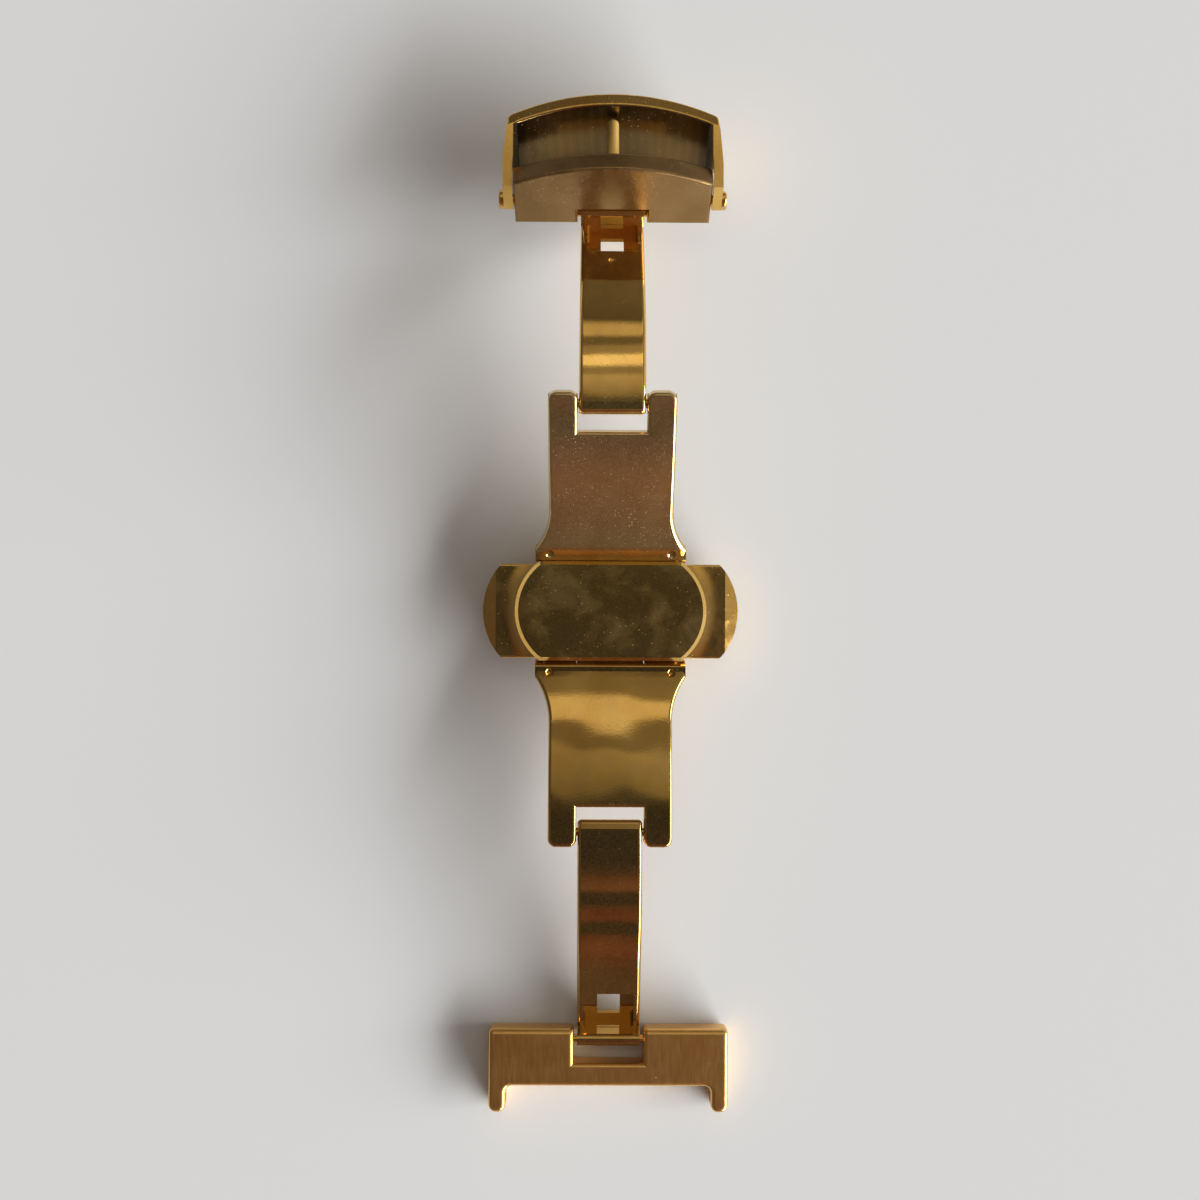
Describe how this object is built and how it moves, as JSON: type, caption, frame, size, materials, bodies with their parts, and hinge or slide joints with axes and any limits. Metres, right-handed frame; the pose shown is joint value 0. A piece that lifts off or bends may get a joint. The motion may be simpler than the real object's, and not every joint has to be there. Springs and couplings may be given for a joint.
{
  "type": "butterfly clasp for a watch strap",
  "caption": "Open butterfly clasp for a leather watch strap: folding blade wings, side push buttons, a lugged strap end, and a buckle with a peg and hinged frame.",
  "frame": {"origin": "middle of the wrist cover's flat face", "axes": "+Z out of the wrist cover, towards the wrist; +Y along the strap towards the buckle; X across, through both push buttons"},
  "size_m": [0.0222, 0.0882, 0.0114],
  "materials": {
    "gold_cover": "polished gold plating on steel, with fine dust",
    "gold_button": "polished gold plating on steel",
    "gold_inside": "gold plating on steel, machined",
    "gold_blade": "polished gold plating on steel blades",
    "gold_pin": "gold plating on turned steel pins",
    "gold_strap_end": "satin and polished gold plating on steel",
    "gold_plate": "satin gold plating on steel, worn",
    "gold_peg": "polished gold plating on steel",
    "gold_frame": "satin gold plating on steel",
    "spring_steel": "drawn spring wire"
  },
  "bodies": {
    "centre": {"centre_body": "gold_inside", "wrist_cover": "gold_cover", "cover_rivets": "gold_inside", "right_button_spring": "spring_steel", "left_button_spring": "spring_steel"},
    "right_push_button": {"right_button": "gold_button"},
    "left_push_button": {"left_button": "gold_button"},
    "upper_wide_wing": {"upper_wide_blade": "gold_blade", "upper_centre_pin": "gold_pin", "upper_fork_pin": "gold_pin"},
    "lower_wide_wing": {"lower_wide_blade": "gold_blade", "lower_centre_pin": "gold_pin", "lower_fork_pin": "gold_pin"},
    "upper_narrow_wing": {"upper_narrow_blade": "gold_blade"},
    "lower_narrow_wing": {"lower_narrow_blade": "gold_blade"},
    "strap_side_end": {"strap_end": "gold_strap_end", "strap_end_pin": "gold_pin"},
    "buckle": {"buckle_plate": "gold_plate", "buckle_pin": "gold_pin", "buckle_peg": "gold_peg", "right_frame_rivet": "gold_pin", "left_frame_rivet": "gold_pin"},
    "hinged_frame": {"buckle_frame": "gold_frame"}
  },
  "joints": [
    {"name": "right_button_press", "type": "slide", "parent": "centre", "child": "right_push_button", "axis": [1, 0, 0], "range_m": [-0.0004, 0], "stiffness_N_per_m": 500, "springref_m": 0.001, "deforming": ["right_button_spring"]},
    {"name": "left_button_press", "type": "slide", "parent": "centre", "child": "left_push_button", "axis": [-1, 0, 0], "range_m": [-0.0004, 0], "stiffness_N_per_m": 500, "springref_m": 0.001, "deforming": ["left_button_spring"]},
    {"name": "upper_centre_hinge", "type": "hinge", "parent": "centre", "child": "upper_wide_wing", "pos_m": [0, 0.00505, -0.00195], "axis": [-1, 0, 0], "range_deg": [-9, 21]},
    {"name": "lower_centre_hinge", "type": "hinge", "parent": "centre", "child": "lower_wide_wing", "pos_m": [0, -0.00505, -0.00195], "axis": [1, 0, 0], "range_deg": [-30, 0]},
    {"name": "upper_fork_hinge", "type": "hinge", "parent": "upper_wide_wing", "child": "upper_narrow_wing", "pos_m": [0, 0.01714, 0.00531], "axis": [-1, 0, 0], "range_deg": [-61.1, 119.6]},
    {"name": "lower_fork_hinge", "type": "hinge", "parent": "lower_wide_wing", "child": "lower_narrow_wing", "pos_m": [0, -0.01894, 0.0005], "axis": [1, 0, 0], "range_deg": [-29.9, 150.8]},
    {"name": "buckle_hinge", "type": "hinge", "parent": "upper_narrow_wing", "child": "buckle", "pos_m": [0, 0.03489, -0.00125], "axis": [1, 0, 0], "range_deg": [-103.4, 76.6]},
    {"name": "strap_end_hinge", "type": "hinge", "parent": "lower_narrow_wing", "child": "strap_side_end", "pos_m": [0, -0.03757, -0.00282], "axis": [-1, 0, 0], "range_deg": [-74.2, 150.8]},
    {"name": "frame_hinge", "type": "hinge", "parent": "buckle", "child": "hinged_frame", "pos_m": [0, 0.03559, 0.00019], "axis": [1, 0, 0], "range_deg": [-45, 0]}
  ]
}
